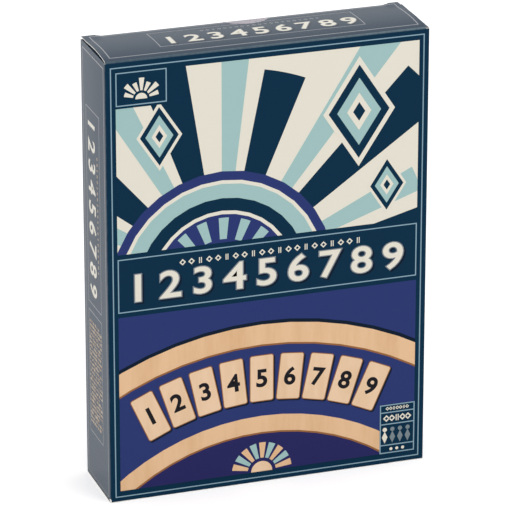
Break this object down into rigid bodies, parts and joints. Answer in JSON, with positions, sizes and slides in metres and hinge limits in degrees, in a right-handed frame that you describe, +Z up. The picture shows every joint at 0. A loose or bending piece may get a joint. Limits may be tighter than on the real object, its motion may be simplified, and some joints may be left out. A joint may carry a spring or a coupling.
{
  "type": "boxed tile-flipping dice game",
  "caption": "Upright tuck-end folding carton with a printed front, holding a wooden game tray on end: numbered tiles hinged on one rod, felt floor, divider bar and dice.",
  "frame": {"origin": "middle of the carton's bottom, on the surface that it stands on", "axes": "+Z up, along the carton's height; the printed front faces -Y; +X to the front's right"},
  "size_m": [0.178, 0.0431, 0.25],
  "materials": {
    "carton_board": "offset printed and gloss coated outside, plain pale board inside",
    "wafer_seal": "clear film, smooth",
    "leaflet_paper": "uncoated, folded",
    "tray_wood": "pine, satin varnish",
    "base_plywood": "plywood, plain",
    "felt": "short napped felt",
    "rod_steel": "drawn wire",
    "tile_wood": "sanded, with plain black numbers",
    "die_wood": "sanded, with black pips"
  },
  "bodies": {
    "carton": {"front_panel": "carton_board", "back_panel": "carton_board", "left_side_panel": "carton_board", "right_side_panel": "carton_board", "seam_flap": "carton_board", "bottom_closure": "carton_board", "bottom_tuck_flap": "carton_board", "bottom_dust_flap_left": "carton_board", "bottom_dust_flap_right": "carton_board", "seal_back_half": "wafer_seal", "instruction_leaflet": "leaflet_paper"},
    "top_closure": {"top_closure": "carton_board", "seal_top_half": "wafer_seal"},
    "top_tuck": {"top_tuck_flap": "carton_board"},
    "top_dust_left": {"top_dust_flap_left": "carton_board"},
    "top_dust_right": {"top_dust_flap_right": "carton_board"},
    "tray": {"tray_back_wall": "tray_wood", "tray_front_wall": "tray_wood", "tray_left_wall": "tray_wood", "tray_right_wall": "tray_wood", "tray_base": "base_plywood", "tray_felt": "felt", "divider_bar": "tray_wood", "tile_rod": "rod_steel", "corner_brads": "rod_steel"},
    "tile_1": {"tile_1": "tile_wood"},
    "tile_2": {"tile_2": "tile_wood"},
    "tile_3": {"tile_3": "tile_wood"},
    "tile_4": {"tile_4": "tile_wood"},
    "tile_5": {"tile_5": "tile_wood"},
    "tile_6": {"tile_6": "tile_wood"},
    "tile_7": {"tile_7": "tile_wood"},
    "tile_8": {"tile_8": "tile_wood"},
    "tile_9": {"tile_9": "tile_wood"},
    "die_1": {"die_1": "die_wood"},
    "die_2": {"die_2": "die_wood"}
  },
  "joints": [
    {"name": "tray_lift", "type": "slide", "parent": "carton", "child": "tray", "axis": [0, 0, 1], "range_m": [0, 0.275], "deforming": ["top_closure", "seal_top_half", "top_tuck_flap", "top_dust_flap_left", "top_dust_flap_right"]},
    {"name": "top_closure_fold", "type": "hinge", "parent": "carton", "child": "top_closure", "pos_m": [0, -0.0215, 0.2479], "axis": [1, 0, 0], "range_deg": [0, 200]},
    {"name": "top_tuck_fold", "type": "hinge", "parent": "top_closure", "child": "top_tuck", "pos_m": [0, 0.02085, 0.2479], "axis": [1, 0, 0], "range_deg": [0, 35]},
    {"name": "top_dust_left_fold", "type": "hinge", "parent": "carton", "child": "top_dust_left", "pos_m": [-0.089, 0, 0.2474], "axis": [0, -1, 0], "range_deg": [0, 110]},
    {"name": "top_dust_right_fold", "type": "hinge", "parent": "carton", "child": "top_dust_right", "pos_m": [0.089, 0, 0.2474], "axis": [0, 1, 0], "range_deg": [0, 110]},
    {"name": "tile_1_flip", "type": "hinge", "parent": "tray", "child": "tile_1", "pos_m": [0.067, 0.011, 0.2102], "axis": [0, 0, 1], "range_deg": [0, 102]},
    {"name": "tile_2_flip", "type": "hinge", "parent": "tray", "child": "tile_2", "pos_m": [0.067, 0.011, 0.1884], "axis": [0, 0, 1], "range_deg": [0, 102]},
    {"name": "tile_3_flip", "type": "hinge", "parent": "tray", "child": "tile_3", "pos_m": [0.067, 0.011, 0.1666], "axis": [0, 0, 1], "range_deg": [0, 102]},
    {"name": "tile_4_flip", "type": "hinge", "parent": "tray", "child": "tile_4", "pos_m": [0.067, 0.011, 0.1448], "axis": [0, 0, 1], "range_deg": [0, 102]},
    {"name": "tile_5_flip", "type": "hinge", "parent": "tray", "child": "tile_5", "pos_m": [0.067, 0.011, 0.123], "axis": [0, 0, 1], "range_deg": [0, 102]},
    {"name": "tile_6_flip", "type": "hinge", "parent": "tray", "child": "tile_6", "pos_m": [0.067, 0.011, 0.1012], "axis": [0, 0, 1], "range_deg": [0, 102]},
    {"name": "tile_7_flip", "type": "hinge", "parent": "tray", "child": "tile_7", "pos_m": [0.067, 0.011, 0.0794], "axis": [0, 0, 1], "range_deg": [0, 102]},
    {"name": "tile_8_flip", "type": "hinge", "parent": "tray", "child": "tile_8", "pos_m": [0.067, 0.011, 0.0576], "axis": [0, 0, 1], "range_deg": [0, 102]},
    {"name": "tile_9_flip", "type": "hinge", "parent": "tray", "child": "tile_9", "pos_m": [0.067, 0.011, 0.0358], "axis": [0, 0, 1], "range_deg": [0, 102]},
    {"name": "die_1_roll", "type": "slide", "parent": "tray", "child": "die_1", "axis": [0, 0, 1], "range_m": [0, 0.2]},
    {"name": "die_2_roll", "type": "slide", "parent": "tray", "child": "die_2", "axis": [0, 0, 1], "range_m": [0, 0.2]}
  ],
  "couplings": [
    {"joint": "top_closure_fold", "follows": "tray_lift", "rad_per_m": 12.693},
    {"joint": "top_tuck_fold", "follows": "tray_lift", "rad_per_m": 2.221},
    {"joint": "top_dust_left_fold", "follows": "tray_lift", "rad_per_m": 6.981},
    {"joint": "top_dust_right_fold", "follows": "tray_lift", "rad_per_m": 6.981}
  ]
}
